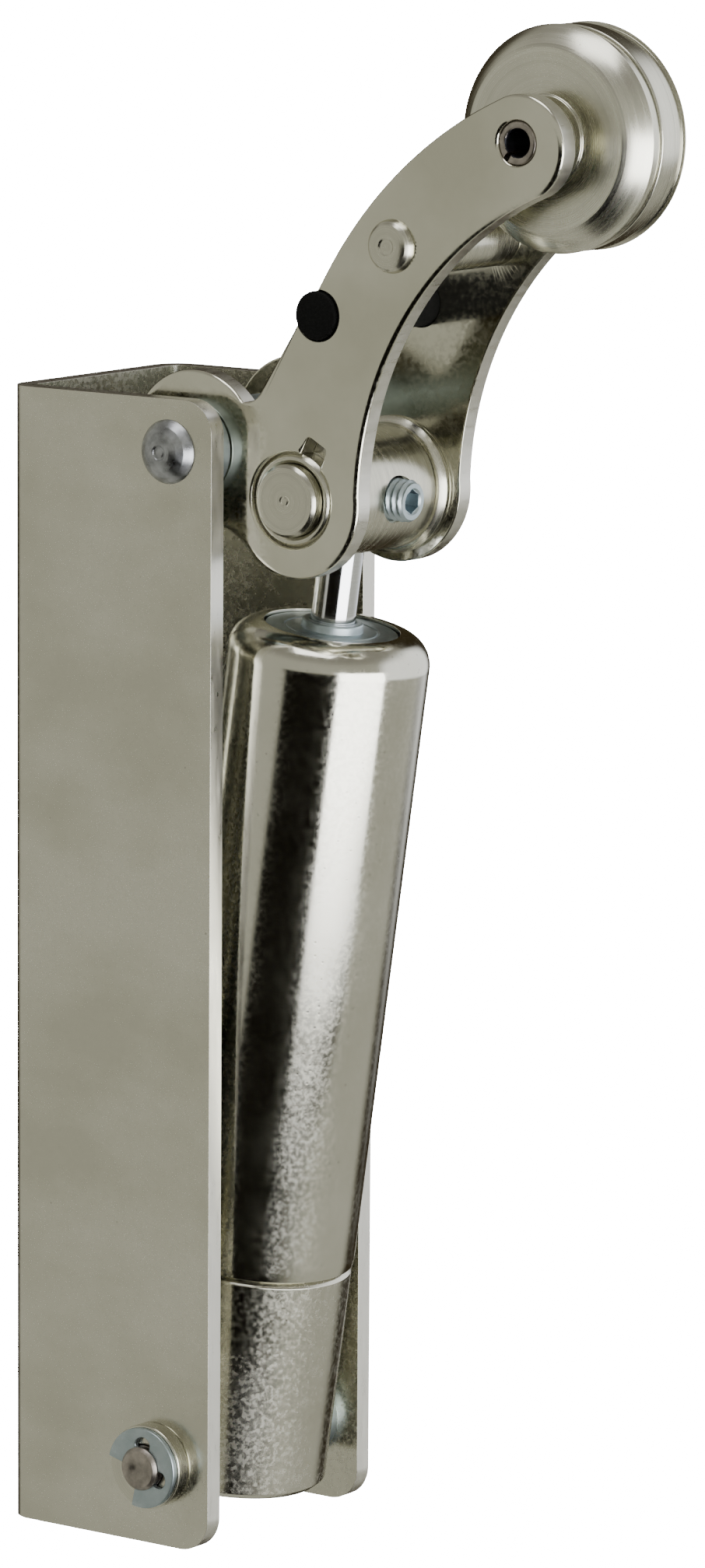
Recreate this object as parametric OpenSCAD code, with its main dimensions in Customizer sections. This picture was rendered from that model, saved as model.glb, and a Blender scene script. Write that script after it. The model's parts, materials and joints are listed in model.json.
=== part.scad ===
// Roller door closer: a sheet metal channel, a two-plate swing arm with a roller, and a
// hydraulic spring cylinder between the lower pin and the cross bolt of the arm.
// X points away from the door, Y runs along the pins, Z is up.
// The origin is the centre of the back face that lies on the door.

/* [Housing] */
// Height of the channel
housing_h = 160; // [150:1:175]
// Width of the channel over its flanges
housing_w = 38; // [37.6:0.1:40]
// Depth of the channel from its back face to its free edges
housing_d = 35.5; // [34:0.5:38]
// Sheet thickness
sheet = 2.8; // [2.5:0.1:3]
// Outer radius of the two bends
bend_r = 4; // [3.5:0.1:5]
// Radius of the free corners of the flanges
corner_r = 4.7; // [3:0.1:6]
// Radius of the fixing holes
fixing_r = 2.75; // [2.25:0.05:3.25]
// Distance between fixing holes across the channel
fixing_across = 18; // [14:1:20]
// Distance between fixing holes along the channel
fixing_along = 110; // [90:1:120]

/* [Arm] */
// Arm pivot, distance from the back face
pivot_x = 28.2; // [27:0.1:29]
// Arm pivot, height
pivot_z = 72.8; // [70:0.1:74]
// Radius of the pivot rivet
pivot_r = 3.2; // [3:0.05:3.3]
// Radius of the rounded ends at the pivot and the cross bolt
lobe_r = 10.7; // [10:0.1:11]
// Width of the arm over its two cheeks
arm_w = 27; // [26:0.1:27.4]
// Thickness of a cheek
cheek_t = 3.1; // [2.8:0.1:3.2]
// Radius of the arm's hollow side
arc_in = 46.8; // [46:0.1:47.2]
// Radius of the arm's back
arc_out = 60.9; // [60:0.1:61.5]
// Radius of the rubber stop rod
stop_r = 3.3; // [3:0.1:3.5]
// Radius of the body of the spacer rivet
spacer_r = 4.3; // [4:0.1:4.6]

/* [Roller] */
// Radius of the roller
roller_r = 15.2; // [14.5:0.1:16]
// Width of the roller over its flat faces
roller_w = 13.8; // [13:0.1:14.5]
// Radius of the slotted roller pin
roller_pin_r = 2.95; // [2.9:0.01:3]

/* [Cross bolt] */
// Radius of the barrel between the cheeks
barrel_r = 8.6; // [8.2:0.1:8.8]
// Radius of the two journals
journal_r = 4.98; // [4.9:0.01:5]
// Radius of the holes in the cheeks
bush_r = 6.5; // [6.3:0.1:6.7]

/* [Cylinder] */
// Distance from the cross bolt to the eye of the base cap
eye_dist = 136.95; // [136.5:0.05:137.4]
// Lean of the cylinder away from the door, in degrees
lean = 8.14; // [8:0.01:8.3]
// Outer radius of the tube
tube_r = 14; // [13.6:0.1:14.2]
// Wall of the tube
tube_wall = 1.4; // [1.2:0.1:1.6]
// Radius of the piston rod
rod_r = 3.1; // [3:0.05:3.15]
// Radius of the eye of the base cap, with play for the swing
eye_r = 4.4; // [4.3:0.1:4.6]
// Radius of the lower pin
pin_r = 3.05; // [3:0.05:3.1]
// Number of turns of the closing spring
spring_turns = 7; // [5:1:8]

/* [Hidden] */
$fn = 96;
eps = 0.01;
fit = 0.05;
half_w = housing_w / 2;
inner_w = half_w - sheet;
cheek_out = arm_w / 2;
cheek_in = cheek_out - cheek_t;
pivot = [pivot_x, pivot_z];
bolt = [44.7, 66.9];
lower_pin_at = [26.4, -68.5];
arc_at = [102.5, 66.7];
roller_at = [81.1, 116.9];
stop_at = [48.8, 92.2];
spacer_at = [61.2, 102.2];
arc_mid = (arc_in + arc_out) / 2;
band_half = (arc_out - arc_in) / 2;
to_roller = (roller_at - arc_at) / norm(roller_at - arc_at);
tip_at = arc_at + arc_mid * to_roller;
fillet_r = 7;
band_top = [38.6, 80];
band_shoulder = [48.8, 95.6];
shank_r = 2.6;
notch_turn = 61;
notch_reach = 9.2;
notch_w = 3.6;
side_play = 0.3;
countersink = 1.7;
rivet_head_r = 4.4;
rivet_head_h = 2.3;
washer_r = 6.6;
pin_end = 4.1;
pin_head_r = 4.8;
pin_head_h = 2.2;
groove_at = [2.45, 3.35];
groove_r = 2.4;
collar_r = 5.9;
collar_h = 2.4;
clip_r = 5.65;
clip_t = 0.8;
clip_turn = 211.5;
clip_grip_r = 2.42;
relief_r = 1.25;
relief_at = 3.15;
relief_turn = 126;
spacer_ring_r = 5.6;
pivot_tube_r = 6.1;
peen_r = [3.7, 3.3];
peen_h = 1.4;
hub_r = 5;
hub_bore_r = 4.2;
hub_step_r = 6.1;
hub_step_h = 0.5;
flat_r = 12.25;
tread_edge = 3.85;
groove_y = [1.65, 3.7];
groove_floor_r = 14.75;
web_r = 11;
shoulder_r = 9.1;
ring_r = 15.1;
roller_pin_bore = 1.85;
slot_w = 0.8;
slot_turn = 50;
flange_r = [8.7, 9.5];
flange_t = 1.5;
screw_turn = 3.5;
screw_r = 2.95;
screw_len = 7.6;
hex_w = 3;
hex_from = 4.5;
bore_r = tube_r - tube_wall;
cap_r = 13.8;
cap_low = -4.5;
cap_top = 27.4;
cap_spigot = 37;
cap_rim = 0.9;
tube_top = 118;
mouth_r = 9.4;
guide_bottom = 103;
guide_step = 112.5;
piston_bottom = 50;
piston_top = 58;
gland_low = tube_top - 2;
gland_high = tube_top - 0.4;
gland_collar_r = 4.2;
gland_collar_h = 1.2;
rod_end_r = 2.5;
nut_h = 4.4;
nut_w = 10;
port_r = 0.8;
port_at = 7;
seal_t = 1.5;
seal_h = 2.4;
wiper_r = 4.9;
wiper_h = 4;
compensator_bottom = 38;
compensator_h = 5;
spring_wire = 1.1;
spring_r = 8.4;
spring_low = piston_top + spring_wire + 0.1;
spring_high = guide_bottom - spring_wire - 0.1;
spring_steps = spring_turns * 20;
wire_sides = 8;
nickel = [0.64, 0.63, 0.58];
zinc = [0.62, 0.68, 0.71];
steel = [0.5, 0.52, 0.55];
black = [0.06, 0.06, 0.06];
brass = [0.72, 0.58, 0.32];

// Lays a shape drawn in the X-Z plane at a point, with its own axis along Y.
module along_y(at = [0, 0]) {
    translate([at.x, 0, at.y])
        rotate([90, 0, 0])
            children();
}

// A round bar along Y from one distance to another.
module bar(at, r, from, to) {
    translate([at.x, from, at.y])
        rotate([-90, 0, 0])
            cylinder(h = to - from, r = r);
}

// A ring along Y.
module ring(at, r_out, r_in, from, to) {
    difference() {
        bar(at, r_out, from, to);
        bar(at, r_in, from - 1, to + 1);
    }
}

// Both copies of a piece, mirrored across the middle plane.
module both_sides() {
    children();
    mirror([0, 1, 0])
        children();
}

// Places a piece on the cylinder axis, which starts at the eye and points to the cross bolt.
module on_cylinder() {
    translate([bolt.x, 0, bolt.y])
        rotate([0, lean, 0])
            translate([0, 0, -eye_dist])
                children();
}

// A tube on the cylinder axis.
module sleeve(r_out, r_in, from, to) {
    difference() {
        translate([0, 0, from])
            cylinder(h = to - from, r = r_out);
        translate([0, 0, from - 1])
            cylinder(h = to - from + 2, r = r_in);
    }
}

// Rectangle whose two corners at x = 0 are rounded.
module soft_left(d, w, r) {
    translate([r, -w / 2])
        square([d - r, w]);
    translate([0, -w / 2 + r])
        square([d, w - 2 * r]);
    for (side = [-1, 1])
        translate([r, side * (w / 2 - r)])
            circle(r);
}

// Flange outline with two rounded free corners, in X and Z.
module flange_outline() {
    translate([-1, -housing_h / 2])
        square([housing_d - corner_r + 1, housing_h]);
    translate([-1, -housing_h / 2 + corner_r])
        square([housing_d + 1, housing_h - 2 * corner_r]);
    for (side = [-1, 1])
        translate([housing_d - corner_r, side * (housing_h / 2 - corner_r)])
            circle(corner_r);
}

module channel() {
    linear_extrude(housing_h, center = true)
        difference() {
            soft_left(housing_d, housing_w, bend_r);
            translate([sheet, 0])
                soft_left(housing_d, housing_w - 2 * sheet, bend_r - sheet);
        }
}

module fixing_hole() {
    rotate([0, 90, 0]) {
        translate([0, 0, -1])
            cylinder(h = sheet + 2, r = fixing_r);
        translate([0, 0, sheet - countersink])
            cylinder(h = countersink + eps, r1 = fixing_r, r2 = fixing_r + countersink + eps);
    }
}

module housing() {
    color(nickel)
        difference() {
            intersection() {
                channel();
                along_y()
                    linear_extrude(housing_w + 2, center = true)
                        flange_outline();
            }
            bar(pivot, pivot_r + fit, -half_w - 1, half_w + 1);
            bar(lower_pin_at, pin_r + fit, -half_w - 1, half_w + 1);
            for (y = [-1, 1], z = [-1, 1])
                translate([0, y * fixing_across / 2, z * fixing_along / 2])
                    fixing_hole();
        }
}

// Low domed rivet head on the outer face of a flange.
module rivet_head(r, h) {
    ball = (r * r + h * h) / (2 * h);
    rotate_extrude()
        intersection() {
            translate([0, h - ball])
                circle(ball);
            square([r, h]);
        }
}

module pivot_rivet() {
    color(steel) {
        bar(pivot, pivot_r, -half_w, half_w);
        both_sides()
            translate([pivot.x, -half_w + eps, pivot.y])
                rotate([90, 0, 0])
                    rivet_head(rivet_head_r, rivet_head_h);
    }
}

module pivot_washers() {
    color(zinc)
        both_sides()
            ring(pivot, washer_r, pivot_r + fit, cheek_out + 0.2, inner_w);
}

module lower_pin() {
    color(steel)
        difference() {
            union() {
                bar(lower_pin_at, pin_r, -half_w - pin_end, half_w + 1);
                bar(lower_pin_at, pin_head_r, half_w, half_w + pin_head_h);
            }
            ring(lower_pin_at, pin_r + 1, groove_r,
                 -half_w - groove_at[1], -half_w - groove_at[0]);
        }
}

module pin_collar() {
    color(steel)
        ring(lower_pin_at, collar_r, pin_r + fit, -half_w - collar_h, -half_w);
}

// Retaining clip: a ring with a flared opening, and two reliefs beside its grip on the shaft.
module pin_clip() {
    mouth = [2.6, 2.05];
    color(zinc)
        translate([lower_pin_at.x, -half_w - groove_at[0] - fit, lower_pin_at.y])
            rotate([90, 0, 0])
                linear_extrude(clip_t)
                    rotate(clip_turn)
                        difference() {
                            circle(clip_r);
                            circle(clip_grip_r);
                            polygon([[0, -mouth.y], [mouth.x, -mouth.y], [8, -8],
                                     [8, 8], mouth, [0, mouth.y]]);
                            for (turn = [relief_turn, -relief_turn])
                                rotate(turn)
                                    translate([relief_at, 0])
                                        circle(relief_r);
                        }
}

module pin_spacers() {
    color(steel)
        both_sides()
            ring(lower_pin_at, spacer_ring_r, pin_r + fit, tube_r + 0.2, inner_w);
}

// Outline of a cheek: two overlapping lobes and a curved arm that ends at the roller.
module cheek_outline() {
    bolt_lobe_shift = [0.4, 0];
    neck_low = [53, 70];
    neck_high = [56, 92];
    saddle = pivot + [8.2, 6.8];
    wedge_reach = 130;
    wedge_corners = [[-100, 90], [-100, 1]];
    translate(pivot)
        circle(lobe_r);
    translate(bolt + bolt_lobe_shift)
        circle(lobe_r);
    intersection() {
        translate(arc_at)
            difference() {
                circle(arc_out, $fn = 240);
                circle(arc_in, $fn = 240);
            }
        polygon([arc_at, arc_at + wedge_reach * to_roller,
                 arc_at + wedge_corners[0], arc_at + wedge_corners[1]]);
    }
    translate(tip_at)
        circle(band_half + fit / 2);
    polygon([bolt, neck_low, neck_high, band_shoulder, band_top, saddle, pivot]);
}

// Centre of the round fillet that touches two equal lobes from below.
function fillet_centre(a, b, r) =
    let (mid = (a + b) / 2, half = norm(b - a) / 2, run = (b - a) / norm(b - a))
    mid + sqrt(pow(lobe_r + r, 2) - half * half) * [run.y, -run.x];

module lobe_fillet() {
    under = fillet_centre(pivot, bolt, fillet_r);
    difference() {
        polygon([pivot, under, bolt]);
        translate(under)
            circle(fillet_r);
    }
}

module cheek_plate() {
    difference() {
        union() {
            cheek_outline();
            lobe_fillet();
        }
        translate(pivot)
            circle(pivot_r + fit);
        translate(bolt)
            circle(bush_r);
        translate(bolt)
            rotate(notch_turn)
                translate([0, -notch_w / 2])
                    square([notch_reach, notch_w]);
        translate(roller_at)
            circle(roller_pin_r);
        translate(stop_at)
            circle(stop_r);
        translate(spacer_at)
            circle(shank_r);
    }
}

module near_cheek() {
    color(nickel)
        translate([0, -cheek_in, 0])
            along_y()
                linear_extrude(cheek_t)
                    cheek_plate();
}

module far_cheek() {
    color(nickel)
        mirror([0, 1, 0])
            near_cheek();
}

module pivot_tube() {
    color(zinc)
        ring(pivot, pivot_tube_r, pivot_r + fit, -cheek_in, cheek_in);
}

// Rivet with a thick middle that keeps the cheeks apart, peened over on both sides.
module spacer_rivet() {
    color(nickel) {
        bar(spacer_at, spacer_r, -cheek_in, cheek_in);
        bar(spacer_at, shank_r, -cheek_out, cheek_out);
        both_sides()
            translate([spacer_at.x, -cheek_out + eps, spacer_at.y])
                rotate([90, 0, 0])
                    cylinder(h = peen_h, r1 = peen_r[0], r2 = peen_r[1]);
    }
}

module stop_rod() {
    color(black)
        bar(stop_at, stop_r, -cheek_out - 0.3, cheek_out + 0.3);
}

module roller_pin() {
    color(steel)
        difference() {
            ring(roller_at, roller_pin_r, roller_pin_bore, -cheek_out + 0.2, cheek_out - 0.2);
            translate([roller_at.x, 0, roller_at.y])
                rotate([0, slot_turn, 0])
                    translate([-roller_pin_r - 1, -cheek_out, -slot_w / 2])
                        cube([roller_pin_r + 1, arm_w, slot_w]);
        }
}

// Flanged bushes pressed into the cheeks, running on the journals of the cross bolt.
module bolt_bushes() {
    color(nickel)
        both_sides()
            translate([bolt.x, 0, bolt.y])
                rotate([90, 0, 0])
                    rotate_extrude()
                        polygon([[journal_r + fit, cheek_in - flange_t],
                                 [flange_r[0], cheek_in - flange_t],
                                 [flange_r[1], cheek_in - flange_t / 2],
                                 [flange_r[1], cheek_in], [bush_r, cheek_in],
                                 [bush_r, cheek_out - 0.8], [bush_r - 0.6, cheek_out - 0.2],
                                 [journal_r + fit, cheek_out - 0.2]]);
}

// Centre of the arc of a given radius that bulges to the right from one point to another.
function arc_centre(a, b, r) =
    let (run = (b - a) / norm(b - a), half = norm(b - a) / 2)
    (a + b) / 2 - sqrt(r * r - half * half) * [-run.y, run.x];

// Profile of one roller half: hub, flat face, crowned shoulder and groove.
module roller_half_profile() {
    flat = roller_w / 2;
    translate([hub_bore_r, 0])
        square([web_r - hub_bore_r + eps, flat]);
    translate([web_r, groove_y[0]])
        square([groove_floor_r - web_r, groove_y[1] - groove_y[0] + eps]);
    intersection() {
        translate([web_r, groove_y[1]])
            square([roller_r - web_r, flat - groove_y[1]]);
        translate(arc_centre([flat_r, flat], [roller_r, tread_edge], shoulder_r))
            circle(shoulder_r, $fn = 200);
    }
    translate([hub_bore_r, flat - eps])
        square([hub_step_r - hub_bore_r, hub_step_h + eps]);
    translate([hub_bore_r, flat - eps])
        square([hub_r - hub_bore_r, cheek_in - side_play - flat + eps]);
}

module roller_near_half() {
    color(nickel)
        along_y(roller_at)
            rotate_extrude($fn = 144)
                roller_half_profile();
}

module roller_far_half() {
    color(nickel)
        mirror([0, 1, 0])
            roller_near_half();
}

module roller_ring() {
    color(nickel)
        ring(roller_at, ring_r, web_r + 0.05, -groove_y[0] + fit, groove_y[0] - fit);
}

module roller_bush() {
    color(brass)
        ring(roller_at, hub_bore_r - fit, roller_pin_r + fit,
             -cheek_in + side_play, cheek_in - side_play);
}

module cross_bolt() {
    barrel_end = cheek_in - flange_t - 0.2;
    journal_end = cheek_out + 1;
    chamfer = 0.5;
    end_chamfer = [0.35, 0.4];
    color(nickel)
        difference() {
            translate([bolt.x, 0, bolt.y])
                rotate([90, 0, 0])
                    union() {
                        cylinder(h = 2 * (barrel_end - chamfer), r = barrel_r, center = true);
                        for (side = [0, 1])
                            mirror([0, 0, side]) {
                                translate([0, 0, barrel_end - chamfer])
                                    cylinder(h = chamfer, r1 = barrel_r, r2 = barrel_r - chamfer);
                                translate([0, 0, barrel_end - eps])
                                    cylinder(h = journal_end - barrel_end, r = journal_r);
                                translate([0, 0, journal_end - 2 * eps])
                                    cylinder(h = end_chamfer.y, r1 = journal_r,
                                             r2 = journal_r - end_chamfer.x);
                            }
                    }
            on_cylinder()
                translate([0, 0, eye_dist - 2 * barrel_r])
                    cylinder(h = 2 * barrel_r + 6, r = rod_r + fit);
            translate([bolt.x, 0, bolt.y])
                rotate([0, 90 + screw_turn, 0])
                    cylinder(h = 2 * barrel_r, r = screw_r + fit + 0.02);
        }
}

// Clamping screw with a hexagon socket and a chamfered end.
module set_screw() {
    chamfer = 0.5;
    start = rod_r + 0.1;
    color(zinc)
        translate([bolt.x, 0, bolt.y])
            rotate([0, 90 + screw_turn, 0])
                difference() {
                    union() {
                        translate([0, 0, start])
                            cylinder(h = screw_len - chamfer, r = screw_r);
                        translate([0, 0, start + screw_len - chamfer - eps])
                            cylinder(h = chamfer, r1 = screw_r, r2 = screw_r - chamfer);
                    }
                    translate([0, 0, rod_r + hex_from])
                        cylinder(h = screw_len, d = hex_w / cos(30), $fn = 6);
                }
}

module piston_rod() {
    rod_low = piston_bottom - nut_h - 1.6;
    color([0.75, 0.76, 0.78])
        on_cylinder()
            difference() {
                translate([0, 0, rod_low])
                    cylinder(h = eye_dist + 5 - rod_low, r = rod_r);
                sleeve(rod_r + 1, rod_end_r, rod_low - 1, piston_top);
            }
}

// Ring groove in the outside of an inner piece, and the ring that lies in it.
module seal_groove(low, h) {
    sleeve(bore_r + 1, bore_r - seal_t, low, low + h);
}

module seal(low, h) {
    color(black)
        on_cylinder()
            sleeve(bore_r - 0.02, bore_r - seal_t + fit, low + fit, low + h - fit);
}

module piston() {
    color(steel)
        on_cylinder()
            difference() {
                sleeve(bore_r - fit, rod_end_r, piston_bottom, piston_top);
                seal_groove(piston_bottom + 2.5, 3);
                for (turn = [0:60:300])
                    rotate(turn)
                        translate([port_at, 0, piston_bottom - 1])
                            cylinder(h = piston_top - piston_bottom + 2, r = port_r);
            }
}

module piston_ring() {
    seal(piston_bottom + 2.5, 3);
}

module piston_nut() {
    color(zinc)
        on_cylinder()
            difference() {
                translate([0, 0, piston_bottom - nut_h - 0.1])
                    cylinder(h = nut_h, d = nut_w / cos(30), $fn = 6);
                translate([0, 0, piston_bottom - nut_h - 1])
                    cylinder(h = nut_h + 2, r = rod_end_r);
            }
}

// Drawn tube with its upper end rolled in over the rod guide.
module tube_profile(r, top, roll, low) {
    translate([0, low])
        square([r, top - roll - low]);
    translate([0, low])
        square([r - roll, top - low]);
    translate([r - roll, top - roll])
        intersection() {
            circle(roll);
            square(roll);
        }
}

module cylinder_tube() {
    roll = tube_r - mouth_r - 0.2;
    color(nickel)
        on_cylinder()
            rotate_extrude($fn = 144)
                difference() {
                    tube_profile(tube_r, tube_top, roll, cap_top + 0.2);
                    tube_profile(bore_r, tube_top - tube_wall, roll - tube_wall, 0);
                    square([mouth_r, tube_top + 1]);
                }
}

module base_cap() {
    color(nickel)
        difference() {
            on_cylinder()
                rotate_extrude($fn = 144)
                    difference() {
                        polygon([[0, cap_low], [cap_r - cap_rim, cap_low],
                                 [cap_r, cap_low + cap_rim], [cap_r, cap_top - 0.7],
                                 [cap_r - 0.7, cap_top], [bore_r - fit, cap_top],
                                 [bore_r - fit, cap_spigot], [0, cap_spigot]]);
                        translate([bore_r - seal_t, cap_spigot - 6])
                            square([2 * seal_t, seal_h]);
                    }
            on_cylinder()
                rotate([90, 0, 0])
                    cylinder(h = 2 * cap_r + 2, r = eye_r, center = true);
        }
}

module cap_seal() {
    seal(cap_spigot - 6, seal_h);
}

module rod_guide() {
    color(steel)
        on_cylinder()
            difference() {
                union() {
                    translate([0, 0, guide_bottom])
                        cylinder(h = guide_step - guide_bottom, r = bore_r - fit);
                    translate([0, 0, guide_step - eps])
                        cylinder(h = gland_low - guide_step + eps, r = mouth_r - 0.2);
                }
                translate([0, 0, guide_bottom - 1])
                    cylinder(h = gland_low - guide_bottom + 2, r = rod_r + fit);
                translate([0, 0, guide_bottom - 1])
                    cylinder(h = wiper_h + 1, r = wiper_r);
                seal_groove(guide_bottom + 3.5, seal_h);
            }
}

module guide_seal() {
    seal(guide_bottom + 3.5, seal_h);
}

module rod_wiper() {
    color(black)
        on_cylinder()
            sleeve(wiper_r - fit, rod_r + 0.02, guide_bottom + 0.3, guide_bottom + wiper_h - 0.1);
}

// Zinc plated disc in the mouth of the tube, with a low collar round the rod.
module gland_disc() {
    color(zinc)
        on_cylinder() {
            sleeve(mouth_r - 0.25, rod_r + fit, gland_low, gland_high);
            sleeve(gland_collar_r, rod_r + fit, gland_high - eps, gland_high + gland_collar_h);
        }
}

module compensator() {
    color(steel)
        on_cylinder()
            difference() {
                translate([0, 0, compensator_bottom])
                    cylinder(h = compensator_h, r = bore_r - fit);
                seal_groove(compensator_bottom + 1.3, seal_h);
            }
}

module compensator_ring() {
    seal(compensator_bottom + 1.3, seal_h);
}

// Point on the wire's surface: step along the coil, corner round the wire.
function wire_point(i, j) =
    let (turn = 360 * spring_turns * i / spring_steps,
         side = 360 * j / wire_sides,
         r = spring_r + spring_wire * cos(side))
    [r * cos(turn), r * sin(turn),
     spring_low + (spring_high - spring_low) * i / spring_steps + spring_wire * sin(side)];

module closing_spring() {
    last = spring_steps * wire_sides;
    sides = [for (i = [0:spring_steps - 1], j = [0:wire_sides - 1])
        let (a = i * wire_sides + j, b = i * wire_sides + (j + 1) % wire_sides)
        [a, a + wire_sides, b + wire_sides, b]];
    low_end = [for (j = [0:wire_sides - 1]) j];
    high_end = [for (j = [wire_sides - 1:-1:0]) last + j];
    color(steel)
        on_cylinder()
            polyhedron(
                points = [for (i = [0:spring_steps], j = [0:wire_sides - 1]) wire_point(i, j)],
                faces = concat(sides, [low_end], [high_end]));
}

housing();
pivot_rivet();
pivot_washers();
lower_pin();
pin_collar();
pin_clip();
pin_spacers();
near_cheek();
far_cheek();
pivot_tube();
spacer_rivet();
stop_rod();
roller_pin();
bolt_bushes();
roller_near_half();
roller_far_half();
roller_ring();
roller_bush();
cross_bolt();
set_screw();
piston_rod();
piston();
piston_ring();
piston_nut();
cylinder_tube();
base_cap();
cap_seal();
rod_guide();
guide_seal();
rod_wiper();
gland_disc();
compensator();
compensator_ring();
closing_spring();
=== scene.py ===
"""Looks of the roller door closer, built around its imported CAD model.

Lengths are written in millimetres and become metres in one place, mm(). X points away from
the door, Y runs along the pins with the near side at -Y, and Z is up.
"""

import json
import math

import bmesh
import bpy
from mathutils import Matrix, Vector


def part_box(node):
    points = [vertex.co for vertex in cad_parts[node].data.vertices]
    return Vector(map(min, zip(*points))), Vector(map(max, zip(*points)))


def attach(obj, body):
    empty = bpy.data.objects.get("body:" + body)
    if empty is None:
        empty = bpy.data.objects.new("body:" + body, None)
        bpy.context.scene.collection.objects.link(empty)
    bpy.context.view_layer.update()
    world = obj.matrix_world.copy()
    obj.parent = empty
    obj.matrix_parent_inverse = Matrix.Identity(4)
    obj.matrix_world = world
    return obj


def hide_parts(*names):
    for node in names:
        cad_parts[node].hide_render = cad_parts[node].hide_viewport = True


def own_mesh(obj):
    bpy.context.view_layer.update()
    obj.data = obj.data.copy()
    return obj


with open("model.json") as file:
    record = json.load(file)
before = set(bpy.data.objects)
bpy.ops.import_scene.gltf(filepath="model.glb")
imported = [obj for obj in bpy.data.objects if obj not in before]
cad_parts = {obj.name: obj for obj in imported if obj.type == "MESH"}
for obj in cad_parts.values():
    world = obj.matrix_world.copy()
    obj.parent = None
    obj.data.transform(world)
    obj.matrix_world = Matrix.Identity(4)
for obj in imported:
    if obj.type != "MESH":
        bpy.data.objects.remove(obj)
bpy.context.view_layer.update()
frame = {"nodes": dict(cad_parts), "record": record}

TAU = 2 * math.pi


def mm(*values):
    """Millimetres as metres: one number or a vector."""
    return values[0] / 1000 if len(values) == 1 else Vector(values) / 1000


def box_mm(node):
    """Lowest and highest corner of a CAD node, in millimetres."""
    low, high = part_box(node)
    return Vector(low) * 1000, Vector(high) * 1000


def centre_of(node):
    """Centre of a CAD node in the X-Z plane, in millimetres."""
    low, high = box_mm(node)
    return Vector(((low.x + high.x) / 2, (low.z + high.z) / 2))


# Sizes shared by several pieces, in millimetres.
HOUSING_LOW, HOUSING_HIGH = box_mm("housing")
HALF_W = HOUSING_HIGH.y
SHEET = 2.8
BEND_R = 4.0
CORNER_R = 4.7
CHEEK_OUT = -box_mm("near_cheek")[0].y
CHEEK_IN = box_mm("far_cheek")[0].y
PIVOT = centre_of("pivot_tube")
BOLT = centre_of("bolt_bushes")
PIN = centre_of("pin_collar")
STOP = centre_of("stop_rod")
SPACER = centre_of("spacer_rivet")
ROLLER = centre_of("roller_ring")
PIVOT_R = 3.2
LOBE_R = 10.7
BUSH_R = 6.5
JOURNAL_R = 4.98
PIN_R = 3.05
ROLLER_PIN_R = 2.95
SHANK_R = 2.6
LEAN = math.radians(8.14)
EYE_DIST = 136.95
SCREW_TURN = 3.5
TUBE_R = 14.0
TUBE_WALL = 1.4
BORE_R = TUBE_R - TUBE_WALL
TUBE_TOP = 118.0
CAP_TOP = 27.4
MOUTH_R = 9.4
ROD_R = 3.1
FIT = 0.06


# ---------------------------------------------------------------- shapes in the plane

def polar(centre, radius, angle):
    """Point on a circle, with the angle in degrees."""
    turn = math.radians(angle)
    return Vector((centre[0] + radius * math.cos(turn), centre[1] + radius * math.sin(turn)))


def arc(centre, radius, start, end, step=3.0):
    """Points along an arc from one angle to another, in degrees."""
    count = max(2, math.ceil(abs(end - start) / step))
    return [polar(centre, radius, start + (end - start) * i / count) for i in range(count + 1)]


def circle(centre, radius, step=3.0):
    """Closed loop round a circle."""
    return arc(centre, radius, 0, 360, step)[:-1]


def angle_of(point, centre):
    """Direction from a centre to a point, in degrees."""
    return math.degrees(math.atan2(point[1] - centre[1], point[0] - centre[0]))


def meet(centre_a, radius_a, centre_b, radius_b, side):
    """One of the two points where two circles meet: side is 1 for the left one, or -1."""
    gap = Vector(centre_b) - Vector(centre_a)
    along = (radius_a ** 2 - radius_b ** 2 + gap.length_squared) / (2 * gap.length)
    across = math.sqrt(radius_a ** 2 - along ** 2)
    unit = gap.normalized()
    return Vector(centre_a) + unit * along + Vector((-unit.y, unit.x)) * across * side


def soften(points, radius, closed=True, steps=3, least=18.0):
    """Rounds each corner that turns by more than least degrees. Repeated points are dropped."""
    points = [p for i, p in enumerate(points)
              if i == 0 or (Vector(p[:2]) - Vector(points[i - 1][:2])).length > 1e-6]
    out = []
    count = len(points)
    for i, point in enumerate(points):
        here = Vector(point[:2])
        corner_radius = point[2] if len(point) > 2 else radius
        if not closed and i in (0, count - 1):
            out.append(here)
            continue
        back = Vector(points[i - 1][:2]) - here
        ahead = Vector(points[(i + 1) % count][:2]) - here
        turn = 180 - math.degrees(back.angle(ahead))
        if turn < least or corner_radius <= 0:
            out.append(here)
            continue
        reach = corner_radius * math.tan(math.radians(turn) / 2)
        reach = min(reach, 0.45 * back.length, 0.45 * ahead.length)
        start = here + back.normalized() * reach
        end = here + ahead.normalized() * reach
        for k in range(steps + 1):
            t = k / steps
            out.append(start * (1 - t) ** 2 + here * 2 * t * (1 - t) + end * t ** 2)
    return out


def signed_area(loop):
    """Twice the area of a loop, positive when it runs counter-clockwise."""
    return sum(a.x * b.y - b.x * a.y for a, b in zip(loop, loop[1:] + loop[:1]))


def shifted(loop, distance, shares):
    """The loop moved to its left by a distance, of which each point takes its own share."""
    out = []
    count = len(loop)
    for i, point in enumerate(loop):
        run = (loop[(i + 1) % count] - loop[i - 1]).normalized()
        out.append(point + Vector((-run.y, run.x)) * distance * shares[i])
    return out


def roll_shares(loop, reach=2.5, least=0.25):
    """Share of the rim's roll that each point takes: small beside the loop's sharp corners."""
    count = len(loop)
    corners = []
    for i, point in enumerate(loop):
        ahead = loop[(i + 1) % count] - point
        if math.degrees((point - loop[i - 1]).angle(ahead)) > 30:
            corners.append(point)
    shares = []
    for point in loop:
        gap = min([(point - corner).length for corner in corners], default=reach)
        shares.append(least + (1 - least) * min(1.0, gap / reach))
    return shares


# ---------------------------------------------------------------- meshes

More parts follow.
